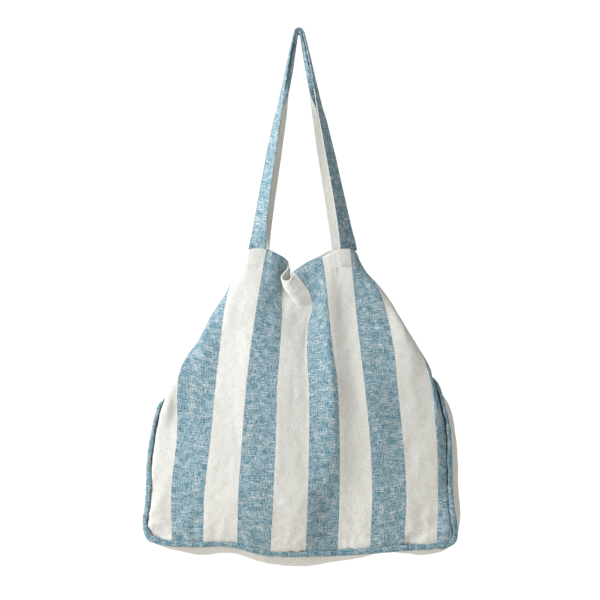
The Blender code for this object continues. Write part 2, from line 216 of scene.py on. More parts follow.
# How far the hem turns a strap's left and right ends away from the front, in degrees
HEM_TURNS = (3, 17)
# How a strap folds over lengthwise towards the hook: (share of the way up, where the fold lies
# from the strap's middle at 0 to its back edge at 1, degrees of fold)
STRAP_FOLDS = [(0, 0.9, 0), (0.60, 0.9, 0), (0.68, 0.72, 95), (0.78, 0.42, 160), (0.90, 0.1, 178),
               (1, 0, 180)]
FOLD_REACH = 3.8 * MM
# From this share of the way up, blue cloth covers the lining's edges: a real wrap that is also painted shade in the
# groove
BLUE_EDGE_AND_SHADE_FROM = 0.74


def spline(knots, points, at):
    """A smooth curve through points at uneven knots, read at several places at once."""
    knots, points, at = np.asarray(knots, float), np.asarray(points, float), np.atleast_1d(at)
    before = np.maximum(np.arange(len(knots)) - 1, 0)
    after = np.minimum(np.arange(len(knots)) + 1, len(knots) - 1)
    spread_out = (slice(None),) + (None,) * (points.ndim - 1)
    tangents = (points[after] - points[before]) / (knots[after] - knots[before])[spread_out]
    i = np.clip(np.searchsorted(knots, at, side="right") - 1, 0, len(knots) - 2)
    step = knots[i + 1] - knots[i]
    f = ((at - knots[i]) / step)[spread_out]
    step = step[spread_out]
    return ((2 * f**3 - 3 * f**2 + 1) * points[i] + (f**3 - 2 * f**2 + f) * tangents[i] * step
            + (3 * f**2 - 2 * f**3) * points[i + 1] + (f**3 - f**2) * tangents[i + 1] * step)


def unit(v):
    return v / np.maximum(np.linalg.norm(v, axis=-1, keepdims=True), 1e-9)


def ease(x):
    x = np.clip(x, 0, 1)
    return x * x * (3 - 2 * x)


def whole_points(points):
    """A column's points, each with its x and z: where only its depth is given, they lie between
    those of its neighbours."""
    known = np.array([point for point in points if len(point) == 4], float)
    whole = []
    for point in points:
        if len(point) == 2:
            up, y = point
            x = np.interp(up, known[:, 0], known[:, 1])
            z = np.interp(up, known[:, 0], known[:, 3])
            point = (up, x, y, z)
        whole.append(point)
    return whole


def smooth_panel(across, up, side):
    """The front or rear panel without its small wrinkles: an array of rows up by columns across."""
    rows = []
    for _, points in FRONT_COLUMNS:
        table = np.array(whole_points(points), float) * MM
        rows.append(spline(table[:, 0], table[:, 1:], up))
    grid = spline([c[0] * MM for c in FRONT_COLUMNS], np.array(rows), across).transpose(1, 0, 2)
    if side == REAR:
        grid[..., 1] *= -1
        left, right = STRAP_ENDS[REAR]
        front_left, front_right = STRAP_ENDS[FRONT]
        scale = (right - left) / (front_right - front_left)
        share = ease((np.asarray(up) - 0.2) / 0.275)[:, None]
        narrow = left + (grid[..., 0] - front_left) * scale
        grid[..., 0] = grid[..., 0] * (1 - share) + narrow * share
    return grid


def normals(grid):
    """Unit normals of a grid of points; on the front panel they point forwards."""
    da = np.gradient(grid, axis=1)
    db = np.gradient(grid, axis=0)
    return unit(np.cross(da, db))


def field(across, up, wave_across, wave_up, seed, octaves=2):
    """Smooth noise from -1 to 1 over the cloth, with its wavelengths in metres."""
    return np.array([[noise.fractal(Vector((a / wave_across, b / wave_up, seed)), 0.6, 2.1, octaves)
                      for a in across] for b in up])


def creases(across, up, size, seed):
    """Soft creases from -1 to 1 that run in all directions, about size apart."""
    def height(a, b):
        bend = Vector((a / size / 2, b / size / 2, seed + 20))
        place = Vector((a / size, b / size, seed)) + noise.noise_vector(bend) * 0.6
        return 1 - 3 * abs(noise.noise(place))
    return np.array([[height(a, b) for a in across] for b in up])


def panel_relief(across, up, side):
    """The panel's own wrinkles: how far each point stands off the smooth shape, outwards."""
    seed = 11.3 if side == FRONT else 47.9
    a, b = np.meshgrid(across, up)
    side_gap = np.minimum(a, PANEL_WIDTH - a)
    relief = 1.5 * MM * field(across, up, 0.070, 0.17, seed)
    relief += 0.55 * MM * field(across, up, 0.024, 0.050, seed + 5)
    relief += 0.22 * MM * field(across, up, 0.009, 0.014, seed + 9)
    near_seam = np.exp(-b / 0.045) + 0.4 * np.exp(-side_gap / 0.030)
    relief += (0.30 + 1.5 * near_seam) * MM * creases(across, up, 0.032, seed + 3)
    relief += (0.08 + 0.7 * near_seam) * MM * creases(across, up, 0.014, seed + 6)
    for gap, along in ((side_gap, b), (b, a)):
        pucker = np.sin(along / 0.0042 + 3 * np.sin(along / 0.013 + seed))
        relief += 0.5 * MM * pucker * np.exp(-gap / 0.010)
    below_hem = np.abs(PANEL_HEIGHT - HEM_DEPTH - b)
    relief += 0.35 * MM * np.sin(a / 0.0026 + 2 * np.sin(a / 0.009)) * np.exp(-below_hem / 0.007)
    relief += 0.5 * MM * ease((b - (PANEL_HEIGHT - HEM_DEPTH)) / 0.004)
    for inset in STRAP_INSETS.values():
        beside = STRAP_WIDTH / 2 + 0.001 - np.abs(a - inset)
        above = b - (PANEL_HEIGHT - HEM_DEPTH + 0.003)
        relief += 0.7 * MM * ease(beside / 0.002) * ease(above / 0.002)
    return relief


def panel(across, up, side):
    """The panel with its wrinkles, and with its edge turned in beside the piping."""
    grid = smooth_panel(across, up, side)
    out = normals(grid) * (-side)
    a, b = np.meshgrid(across, up)
    gap = np.minimum(np.minimum(a, PANEL_WIDTH - a), b)
    depth = 3.2 * MM - 1.8 * MM * ease(1 - b / 0.02)
    ditch = depth * (1 - ease((gap - 0.0035) / 0.0055))
    return grid + out * (panel_relief(across, up, side) - ditch)[..., None]


def gusset(which, deep, up):
    """A side gusset: deep runs from the front seam to the rear seam."""
    seam = np.array([0 if which == "left" else PANEL_WIDTH])
    front = smooth_panel(seam, up, FRONT)
    rear = smooth_panel(seam, up, REAR)
    table = np.array(GUSSET_MIDDLES[which], float) * MM
    middle = spline(table[:, 0], np.stack([table[:, 1], 0 * table[:, 0], table[:, 2]], 1), up)
    share = (np.asarray(deep) / GUSSET_WIDTH)[None, :, None]
    bulge = 4 * share * (1 - share)
    grid = front * (1 - share) + rear * share + (middle[:, None] - (front + rear) / 2) * bulge
    return grid + normals(grid) * -INWARD[which] * gusset_relief(deep, up, 3.7 * INWARD[which])


def gusset_relief(deep, up, seed):
    a, b = np.meshgrid(deep, up)
    relief = 1.8 * MM * field(deep, up, 0.040, 0.090, seed)
    relief += 0.7 * MM * field(deep, up, 0.016, 0.024, seed + 2)
    gap = np.minimum(a, GUSSET_WIDTH - a)
    relief *= ease(gap / 0.02)
    pucker = np.sin(b / 0.0042 + 3 * np.sin(b / 0.013 + seed))
    relief += 0.8 * MM * pucker * np.exp(-gap / 0.012) * ease(gap / 0.008)
    return relief[..., None]


def bottom(across, deep):
    """The bottom gusset, which sags between the front and rear seams."""
    front = smooth_panel(across, np.array([0.0]), FRONT)[0]
    rear = smooth_panel(across, np.array([0.0]), REAR)[0]
    table = np.array(BOTTOM_SAG, float) * MM
    sag = spline(table[:, 0], table[:, 1], across)
    share = (np.asarray(deep) / GUSSET_WIDTH)[:, None, None]
    grid = front * (1 - share) + rear * share
    # The sheet drops steeply beside each seam and lies almost flat between them.
    at = np.asarray(across)
    ends = [np.exp(-at / 0.015), np.exp(-(PANEL_WIDTH - at) / 0.015)]
    drop = 1 - np.abs(2 * share[..., 0] - 1) ** (2.6 - 0.6 * (ends[0] + ends[1]))
    grid[..., 2] -= drop * sag
    grid[..., 0] += drop * (ends[1] * CORNER_OUT[1] - ends[0] * CORNER_OUT[0])
    return grid + normals(grid) * gusset_relief(deep, across, 8.1).transpose(1, 0, 2)


# ---- Meshes ----


def spread(low, high, step):
    """Evenly spaced values from low to high, about step apart."""
    return np.linspace(low, high, max(int(round((high - low) / step)), 1) + 1)


def make_mesh(name, grid, uv, materials, closed=False, slots=None):
    """A mesh from a grid of points; uv gives each grid point's place on the flat cloth."""
    rows, columns = grid.shape[:2]
    index = np.arange(rows * columns).reshape(rows, columns)
    if closed:
        index = np.concatenate([index, index[:, :1]], axis=1)
        uv = np.concatenate([uv, uv[:, -1:] + (uv[:, -1:] - uv[:, -2:-1])], axis=1)
    corners = (index[:-1, :-1], index[:-1, 1:], index[1:, 1:], index[1:, :-1])
    faces = np.stack([c.ravel() for c in corners], 1)
    uvs = np.stack([c.reshape(-1, 2) for c in (uv[:-1, :-1], uv[:-1, 1:], uv[1:, 1:], uv[1:, :-1])], 1)
    mesh = bpy.data.meshes.new(name)
    mesh.from_pydata(grid.reshape(-1, 3).tolist(), [], faces.tolist())
    layer = mesh.uv_layers.new(name="cloth")
    layer.data.foreach_set("uv", uvs.reshape(-1).astype(np.float32))
    for material in materials:
        mesh.materials.append(material)
    if slots is not None:
        mesh.polygons.foreach_set("material_index", np.asarray(slots, np.int32).ravel())
    mesh.shade_smooth()
    ob = bpy.data.objects.new(name, mesh)
    bpy.context.scene.collection.objects.link(ob)
    return ob


def flat_uv(across, up):
    a, b = np.meshgrid(across, up)
    return np.stack([a, b], 2)


def sheet(name, grid, uv, material, thickness=CLOTH):
    """A sheet of cloth, thickened evenly to both sides."""
    ob = make_mesh(name, grid, uv, [material])
    solid = ob.modifiers.new("cloth", "SOLIDIFY")
    solid.thickness = thickness
    solid.offset = 0
    solid.use_even_offset = False
    return ob


def finish_piece(ob, body, slot, *nodes):
    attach(ob, body)
    if nodes:
        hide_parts(*nodes)


def stitches(name, line, out, material, pitch=3.4 * MM, share=0.66, radius=THREAD_RADIUS, lift=0.0):
    """A row of separate stitches along a line of points on cloth whose outward direction is out."""
    steps = np.linalg.norm(np.diff(line, axis=0), axis=1)
    reach = np.concatenate([[0], np.cumsum(steps)])
    around, rings = 6, 5
    points, faces = [], []
    for start in np.arange(0.3 * pitch, reach[-1] - pitch, pitch):
        at = np.linspace(start, start + share * pitch, rings)
        middle = np.stack([np.interp(at, reach, line[:, k]) for k in range(3)], 1)
        away = unit(np.stack([np.interp(at, reach, out[:, k]) for k in range(3)], 1))
        along = unit(middle[-1] - middle[0])
        side = unit(np.cross(along, away))
        bow = np.sin(np.linspace(0, pi, rings))
        size = radius * np.sqrt(0.25 + 0.75 * bow)
        middle = middle + away * (lift + radius * (0.9 * bow - 0.55))[:, None]
        base = len(points)
        for k in range(rings):
            for j in range(around):
                turn = 2 * pi * j / around
                points.append(middle[k] + size[k] * (cos(turn) * side[k] + sin(turn) * away[k]))
        for k in range(rings - 1):
            for j in range(around):
                a, b = base + k * around + j, base + k * around + (j + 1) % around
                faces.append((a, b, b + around, a + around))
        faces.append(tuple(base + j for j in range(around))[::-1])
        faces.append(tuple(base + (rings - 1) * around + j for j in range(around)))
    mesh = bpy.data.meshes.new(name)
    mesh.from_pydata([tuple(p) for p in points], [], faces)
    mesh.materials.append(material)
    mesh.shade_smooth()
    ob = bpy.data.objects.new(name, mesh)
    bpy.context.scene.collection.objects.link(ob)
    return ob


# ---- Materials ----


class Nodes:
    """A short way to add shader nodes and link them."""

    def __init__(self, material):
        material.use_nodes = True
        self.tree = material.node_tree
        self.shader = self.tree.nodes["Principled BSDF"]

    def add(self, kind, *links, **settings):
        node = self.tree.nodes.new("ShaderNode" + kind)
        for key, value in settings.items():
            setattr(node, key, value)
        for socket, value in links:
            self.put(node.inputs[socket], value)
        return node

    def put(self, socket, value):
        if isinstance(value, bpy.types.NodeSocket):
            self.tree.links.new(value, socket)
        else:
            socket.default_value = value

    def math(self, operation, a, b=0.0, clamp=False):
        node = self.add("Math", (0, a), (1, b), operation=operation)
        node.use_clamp = clamp
        return node.outputs[0]

    def mix(self, share, a, b):
        node = self.add("Mix", (0, share), (6, a), (7, b), data_type="RGBA")
        return node.outputs[2]

    def noise(self, where, scale_x, scale_y, detail=2.0, offset=0.0):
        """Noise from about 0 to 1, with its grain's size in metres each way."""
        mapping = self.add("Mapping", ("Vector", where), ("Location", (offset, offset, offset)),
                           ("Scale", (1 / scale_x, 1 / scale_y, 1)))
        return self.add("TexNoise", ("Vector", mapping.outputs[0]), ("Scale", 1.0),
                        ("Detail", detail), ("Roughness", 0.55), noise_dimensions="2D").outputs[0]

    def curve(self, value, low, high):
        """0 below low, 1 above high and smooth between."""
        node = self.add("MapRange", ("Value", value), ("From Min", low), ("From Max", high),
                        interpolation_type="SMOOTHSTEP")
        return node.outputs[0]


THREAD_PITCH = 0.85 * MM
WHITE_YARN = (0.86, 0.86, 0.825, 1)
CREAM_YARN = (0.73, 0.71, 0.645, 1)
BLUE_YARN = (0.064, 0.196, 0.262, 1)
PALE_BLUE_YARN = (0.198, 0.39, 0.475, 1)
DARK_BLUE_YARN = (0.015, 0.085, 0.155, 1)
# SHADE_COLOR is painted shade: the dark tint mixed into the hem over the right strap's end
SHADE_COLOR = (0.33, 0.29, 0.21, 1)


def strap_shade(n, across, up):
    """1 on the hem over the right strap's end, and 0 elsewhere. This marks painted shade: the darkening the strap's
    end gives the thin cloth above it is painted into the colour, on the right strap only.
    """
    beside = n.math("COMPARE", across, STRAP_INSETS["right"])
    beside.node.inputs[2].default_value = STRAP_WIDTH / 2
    return n.math("MULTIPLY", beside, n.math("GREATER_THAN", up, PANEL_HEIGHT - HEM_DEPTH + 3 * MM))


def linen(name, blue, cover=0.85, streaky=0.4):
    """Plain-woven linen with a white weft. blue is 0 for white cloth, 1 for blue, or 'stripes'.
    cover is how much of the weft the blue warp hides."""
    material = bpy.data.materials.new(name)
    n = Nodes(material)
    where = n.add("UVMap", uv_map="cloth").outputs[0]
    split = n.add("SeparateXYZ", (0, where))
    across, up = split.outputs[0], split.outputs[1]
    wobble = n.math("MULTIPLY", n.math("SUBTRACT", n.noise(where, 0.012, 0.009), 0.5), 0.9 * MM)
    across, up = n.math("ADD", across, wobble), n.math("SUBTRACT", up, wobble)
    where = n.add("CombineXYZ", (0, across), (1, up)).outputs[0]
    warp_wave = n.math("SINE", n.math("MULTIPLY", across, pi / THREAD_PITCH))
    weft_wave = n.math("SINE", n.math("MULTIPLY", up, pi / THREAD_PITCH))
    weave = n.math("MULTIPLY", warp_wave, weft_wave)
    weft_slub = n.noise(where, 9.0 * MM, 1.2 * MM, 1.5, 3.1)
    warp_slub = n.noise(where, 1.2 * MM, 11 * MM, 1.5, 7.7)
    cloud = n.noise(where, 16 * MM, 10 * MM, 3.0, 1.3)
    grain = n.noise(where, 1.8 * MM, 1.6 * MM, 1.5, 9.4)
    nep = n.curve(n.noise(where, 2.5 * MM, 2.0 * MM, 0.0, 5.9), 0.62, 0.76)
    streak = n.curve(n.noise(where, 20 * MM, 1.2 * MM, 0.0, 2.2), 0.62, 0.80)
    # 1 where the blue warp shows and 0 where the white weft covers it
    shown = n.math("ADD", cover, n.math("MULTIPLY", weave, 0.20))
    for part, strength in ((weft_slub, -0.95), (warp_slub, 0.65), (grain, 0.5), (cloud, 0.75)):
        shown = n.math("ADD", shown, n.math("MULTIPLY", n.math("SUBTRACT", part, 0.5), strength))
    shown = n.math("SUBTRACT", shown, n.math("MULTIPLY", streak, streaky), clamp=True)
    warp_blue = n.mix(n.curve(n.math("ADD", warp_slub, grain), 0.75, 1.3), PALE_BLUE_YARN, BLUE_YARN)
    warp_blue = n.mix(nep, warp_blue, DARK_BLUE_YARN)
    white_warp = n.mix(n.curve(warp_slub, 0.4, 0.62), WHITE_YARN, CREAM_YARN)
    white_weft = n.mix(n.curve(n.math("ADD", grain, weft_slub), 0.85, 1.25), WHITE_YARN, CREAM_YARN)
    blue_cloth = n.mix(shown, WHITE_YARN, warp_blue)
    white_cloth = n.mix(n.math("ADD", 0.5, n.math("MULTIPLY", weave, 0.5)), white_weft, white_warp)
    if blue == "stripes":
        place = n.math("ADD", across, STRIPE - FIRST_STRIPE)
        # The sine is above 0 in white stripes and below 0 in blue ones.
        wave = n.math("SINE", n.math("MULTIPLY", place, pi / STRIPE))
        color = n.mix(n.curve(wave, 0.012, -0.012), white_cloth, blue_cloth)
        # Painted shade: the hem over the right strap's end is darkened towards SHADE_COLOR
        color = n.mix(n.math("MULTIPLY", strap_shade(n, across, up), 0.26), color, SHADE_COLOR)
    else:
        color = blue_cloth if blue else white_cloth
    n.put(n.shader.inputs["Base Color"], color)
    height = n.math("MULTIPLY", n.math("ABSOLUTE", weave), 0.5)
    for part, strength in ((weft_slub, 0.7), (warp_slub, 0.7), (grain, 1.0), (streak, 0.5)):
        height = n.math("ADD", height, n.math("MULTIPLY", part, strength))
    bump = n.add("Bump", ("Height", height), ("Strength", 0.8), ("Distance", 0.5 * MM))
    n.put(n.shader.inputs["Normal"], bump.outputs[0])
    roughness = n.math("ADD", 0.78, n.math("MULTIPLY", weft_slub, 0.2))
    n.put(n.shader.inputs["Roughness"], roughness)
    n.shader.inputs["Specular IOR Level"].default_value = 0.25
    n.shader.inputs["Sheen Weight"].default_value = 0.12
    n.shader.inputs["Sheen Roughness"].default_value = 0.6
    return material


def thread_material(name, color):
    """Spun sewing thread: fine slanting plies."""
    material = bpy.data.materials.new(name)
    n = Nodes(material)
    place = n.add("TexCoord").outputs["Object"]
    plies = n.add("TexWave", ("Vector", place), ("Scale", 900.0), ("Distortion", 2.0),
                  bands_direction="DIAGONAL").outputs[0]
    dark = tuple(c * 0.72 for c in color[:3]) + (1,)
    n.put(n.shader.inputs["Base Color"], n.mix(plies, dark, color))
    bump = n.add("Bump", ("Height", plies), ("Strength", 0.4), ("Distance", 0.1 * MM))
    n.put(n.shader.inputs["Normal"], bump.outputs[0])
    n.shader.inputs["Roughness"].default_value = 0.6
    return material


STRIPED = linen("striped_linen_cloth", "stripes")
WHITE = linen("white_linen_cloth", 0)
BLUE = linen("blue_linen_cloth", 1)
SEAM_BLUE = linen("blue_seam_cloth", 1, 0.88, 0.1)
THREAD = thread_material("linen_thread", (0.78, 0.77, 0.70, 1))
BLUE_THREAD = thread_material("blue_thread", (0.12, 0.25, 0.33, 1))

# ---- The bag's sheets ----

GRID_STEP = 3.0 * MM
SEAM_EDGE = 3.5 * MM


def make_panel(row, side):
    across = spread(SEAM_EDGE, PANEL_WIDTH - SEAM_EDGE, GRID_STEP)
    up = spread(SEAM_EDGE, PANEL_HEIGHT, GRID_STEP)
    grid = panel(across, up, side)
    if side == REAR:
        grid, across = grid[:, ::-1], across[::-1]
    ob = sheet(row + "_panel_cloth", grid, flat_uv(across, up), STRIPED)
    finish_piece(ob, "bag", "striped_linen", row + "_panel")


def make_gussets():
    deep = spread(1 * MM, GUSSET_WIDTH - 1 * MM, GRID_STEP)
    up = spread(1 * MM, PANEL_HEIGHT, GRID_STEP)
    for which in ("left", "right"):
        ob = sheet(which + "_gusset_cloth", gusset(which, deep, up), flat_uv(deep, up), WHITE)
        finish_piece(ob, "bag", "white_linen", which + "_gusset")
    across = spread(1 * MM, PANEL_WIDTH - 1 * MM, GRID_STEP)
    ob = sheet("bottom_gusset_cloth", bottom(across, deep), flat_uv(across, deep), WHITE)
    finish_piece(ob, "bag", "white_linen", "bottom_gusset")


def turned_in(grid, inward, depth, gap, roll_steps=5):
    """The turned-in layer of a hem whose outer layer is grid, topmost row last: it rolls over
    the top edge and runs down inside, gap away."""
    out = -inward
    top = grid[-1]
    upward = unit(grid[-1] - grid[-2])
    rolled = []
    for k in range(roll_steps + 1):
        turn = pi * k / roll_steps
        rolled.append(top + inward[-1] * gap / 2 * (1 - cos(turn)) + upward * gap / 2 * sin(turn))
    down = grid[::-1][1:] + inward[::-1][1:] * gap
    return np.concatenate([np.array(rolled), down], 0)


def make_hem(name, grid, inward, across, up, material, slot, node):
    layer = turned_in(grid, inward, HEM_DEPTH, 2.6 * MM)
    extra = np.linspace(PANEL_HEIGHT, PANEL_HEIGHT + 3 * MM, 6)
    rows = np.concatenate([extra, up[::-1][1:]])
    ob = sheet(name, layer, flat_uv(across, rows), material)
    finish_piece(ob, "bag", slot, node)
    return ob


def panel_patch(across, up, side):
    """Part of the wrinkled panel, with its inward directions."""
    grid = panel(across, up, side)
    return grid, normals(grid) * side


def make_hems():
    up = spread(PANEL_HEIGHT - HEM_DEPTH, PANEL_HEIGHT, GRID_STEP)
    for row, side in (("front", FRONT), ("rear", REAR)):
        across = spread(8 * MM, PANEL_WIDTH - 8 * MM, GRID_STEP)
        grid, inward = panel_patch(across, up, side)
        ob = make_hem(row + "_hem_fold", grid, inward, across, up, STRIPED, "striped_linen", row + "_hem")
    deep = spread(4 * MM, GUSSET_WIDTH - 4 * MM, GRID_STEP)
    for which in ("left", "right"):
        grid = gusset(which, deep, up)
        inward = normals(grid) * INWARD[which]
        ob = make_hem(which + "_hem_fold", grid, inward, deep, up, WHITE, "white_linen", which + "_hem")


def make_strap_ends():
    """The ends of the straps, between the outer and the turned-in layer of the hem."""
    up = spread(PANEL_HEIGHT - HEM_DEPTH + 4 * MM, PANEL_HEIGHT - 1 * MM, 3 * MM)
    for row, side in (("front", FRONT), ("rear", REAR)):
        for which, inset in STRAP_INSETS.items():
            half = STRAP_WIDTH / 2 - 0.5 * MM
            across = spread(inset - half, inset + half, 3 * MM)
            grid, inward = panel_patch(across, up, side)
            ob = sheet(f"{row}_{which}_strap_tab", grid + inward * 1.3 * MM, flat_uv(across, up), BLUE)
            finish_piece(ob, "bag", "blue_linen", f"{row}_{which}_strap_end")


def make_stitching():
    line_up = PANEL_HEIGHT - HEM_DEPTH + 3 * MM
    rows = np.array([line_up - 1 * MM, line_up, line_up + 1 * MM])
    lift = CLOTH / 2
    for row, side in (("front", FRONT), ("rear", REAR)):
        across = spread(10 * MM, PANEL_WIDTH - 10 * MM, 1.5 * MM)
        grid = panel(across, rows, side)
        out = normals(grid) * -side
        ob = stitches(row + "_hem_stitches", grid[1], out[1], THREAD, lift=lift)
        finish_piece(ob, "bag", "thread", row + "_hem_stitch")
        for which, inset in STRAP_INSETS.items():
            box_stitch(row, side, which, inset, lift)
    deep = spread(6 * MM, GUSSET_WIDTH - 6 * MM, 1.5 * MM)
    for which in ("left", "right"):
        grid = gusset(which, deep, rows)
        out = normals(grid) * -INWARD[which]
        ob = stitches(which + "_hem_stitches", grid[1], out[1], THREAD, lift=lift)
        finish_piece(ob, "bag", "thread")


def box_stitch(row, side, which, inset, lift):
    """The square of stitches that holds a strap's end."""
    half = STRAP_WIDTH / 2 - 3 * MM
    low, high = PANEL_HEIGHT - HEM_DEPTH + 6 * MM, PANEL_HEIGHT - 4 * MM
    corners = [(-half, low), (half, low), (half, high), (-half, high), (-half, low)]
    across = spread(inset - half - 2 * MM, inset + half + 2 * MM, 1.5 * MM)
    up = spread(low - 2 * MM, high + 2 * MM, 1.5 * MM)
    grid = panel(across, up, side)
    out = normals(grid) * -side
    line, away = [], []
    for (a0, b0), (a1, b1) in zip(corners, corners[1:]):
        for share in np.linspace(0, 1, 14)[:-1]:
            i = np.argmin(np.abs(across - (inset + a0 + (a1 - a0) * share)))
            j = np.argmin(np.abs(up - (b0 + (b1 - b0) * share)))
            line.append(grid[j, i])
            away.append(out[j, i])
    ob = stitches(f"{row}_{which}_box_stitches", np.array(line), np.array(away), THREAD, lift=lift)
    finish_piece(ob, "bag", "thread", f"{row}_{which}_box_stitch")


# ---- Piping ----


def seam_path(side, step=3 * MM):
    """Points along a panel's seam with their flat coordinates, from the left hem down, along the
    bottom and up to the right hem, and the outward and forward directions at each."""
    flat = [(0.0, b) for b in spread(0, PANEL_HEIGHT, step)[::-1]]
    flat += [(a, 0.0) for a in spread(0, PANEL_WIDTH, step)[1:-1]]
    flat += [(PANEL_WIDTH, b) for b in spread(0, PANEL_HEIGHT, step)]
    small = 2 * MM
    points, forward = [], []
    for a, b in flat:
        aa = np.array([a - small, a, a + small]).clip(0, PANEL_WIDTH)
        bb = np.array([b - small, b, b + small]).clip(0, PANEL_HEIGHT)
        patch = smooth_panel(aa, bb, side)
        points.append(patch[1, 1])
        forward.append(unit(np.cross(patch[1, 2] - patch[1, 0], patch[2, 1] - patch[0, 1])) * -side)
    points, forward = np.array(points), np.array(forward)
    along = unit(np.gradient(points, axis=0))
    for _ in range(3):
        along[1:-1] = unit(along[:-2] + along[1:-1] * 2 + along[2:])
        forward[1:-1] = unit(forward[:-2] + forward[1:-1] * 2 + forward[2:])
    outward = unit(np.cross(along, forward)) * side
    return np.array(flat), points, outward, forward


def make_piping(row, side):
    """The puckered blue seam: a flattened roll of cloth that stands out round the panel."""
    flat, points, outward, forward = seam_path(side)
    reach = np.concatenate([[0], np.cumsum(np.linalg.norm(np.diff(points, axis=0), axis=1))])
    on_bottom = ease(1 - flat[:, 1] / 0.02)
    upper = ease((flat[:, 1] - 0.10) / 0.11)
    around = 16
    turn = np.linspace(0, 2 * pi, around, endpoint=False)
    rings = []
    for i, place in enumerate(reach):
        slow = noise.fractal(Vector((place / 0.030, side * 5.0, 0)), 0.7, 2.2, 3)
        quick = noise.noise(Vector((place / 0.0075, side * 9.0, 3)))
        half_wide = (4.3 + 0.9 * on_bottom[i] - 1.2 * upper[i] + 1.3 * slow + 0.6 * quick) * MM
        half_thick = (2.1 + 0.35 * slow + 0.5 * quick) * MM
        middle = points[i] + outward[i] * 1.1 * MM * slow + forward[i] * (0.3 + 0.7 * quick) * MM
        x = np.sign(np.cos(turn)) * np.abs(np.cos(turn)) ** 0.85 * half_wide
        z = np.sign(np.sin(turn)) * np.abs(np.sin(turn)) ** 0.85 * half_thick
        ring = middle + outward[i] * x[:, None] + forward[i] * z[:, None]
        rings.append(ring)
    grid = np.array(rings)
    girth = 2 * pi * 3.4 * MM
    uv = np.stack(np.meshgrid(np.linspace(0, girth, around, endpoint=False), reach), 2)
    if side == REAR:
        grid, uv = grid[:, ::-1], uv[:, ::-1]
    ob = make_mesh(row + "_piping_cord", grid, uv, [SEAM_BLUE], closed=True)
    cap_ends(ob, len(grid), around)
    finish_piece(ob, "bag", "blue_linen", row + "_piping")


def cap_ends(ob, rows, around):
    """Closes a tube's two open ends."""
    import bmesh
    bm = bmesh.new()
    bm.from_mesh(ob.data)
    bm.verts.ensure_lookup_table()
    for first in (0, (rows - 1) * around):
        bm.faces.new([bm.verts[first + j] for j in range(around)])
    bmesh.ops.recalc_face_normals(bm, faces=bm.faces)
    bm.to_mesh(ob.data)
    bm.free()


# ---- Straps ----


def strap_line(side):
    """Points along a strap from its left end to its right end, its width directions, which point
    to its front edge, and the share of the way up each point lies."""
    foot_y, foot_z = STRAP_FOOT
    twist = np.array(STRAP_TWIST, float)
    climb = spread(0, 1, 1 / 90)
    bend = np.radians(spline(twist[:, 0], twist[:, 1], climb))
    near_hem = 1 - ease(climb / 0.07)
    points, wide = [], []
    for x, bow, turn, sign in zip(STRAP_ENDS[side], STRAP_BOWS[side], HEM_TURNS, (-1, 1)):
        turned = np.radians(turn) * near_hem
        xs = x + (sign * CROWN_RADIUS - x) * climb + sign * bow * 4 * climb * (1 - climb)
        ys = -foot_y + (foot_y - STRAP_TOP_Y) * climb + STRAP_WIDTH / 2 * np.sin(turned)
        zs = foot_z + (CROWN_Z - foot_z) * climb
        points.append(np.stack([xs, ys, zs], 1))
        wide.append(np.stack([-sign * np.cos(bend + turned), -np.sin(bend + turned), 0 * bend], 1))
    arc = np.linspace(pi, 0, 13)[1:-1]
    crown = np.stack([CROWN_RADIUS * np.cos(arc), 0 * arc - STRAP_TOP_Y,
                      CROWN_RADIUS * np.sin(arc) + CROWN_Z], 1)
    turn = np.radians(np.linspace(twist[-1, 1], 180 - twist[-1, 1], 13)[1:-1])
    crown_wide = np.stack([np.cos(turn), -np.sin(turn), 0 * turn], 1)
    points = np.concatenate([points[0], crown, points[1][::-1]])
    wide = np.concatenate([wide[0], crown_wide, wide[1][::-1]])
    climb = np.concatenate([climb, np.ones(len(arc)), climb[::-1]])
    if side == REAR:
        points[:, 1] *= -1
        wide[:, 1] *= -1
    return points, wide, climb


def folded_section(climb, span):
    """A strap's cross-section, as (towards the front edge, outwards) for each place in span, from
    -1 at the back edge to 1 at the front edge, and the directions its blue face looks."""
    half = STRAP_WIDTH / 2
    table = np.array(STRAP_FOLDS, float)
    fold_at = np.interp(climb, table[:, 0], table[:, 1])
    fold = np.radians(np.interp(climb, table[:, 0], table[:, 2]))
    back = np.linspace(0, 2 * half, 110)
    angle = fold * ease((back - half * (1 + fold_at) + FOLD_REACH) / (2 * FOLD_REACH))
    step = back[1] - back[0]
    line = np.stack([-np.cos(angle), -np.sin(angle)], 1).cumsum(0) * step
    line -= line.mean(0)
    at = half * (1 - span)
    place = np.stack([np.interp(at, back, line[:, k]) for k in (0, 1)], 1)
    angle = np.interp(at, back, angle)
    return place, np.stack([-np.sin(angle), np.cos(angle)], 1)


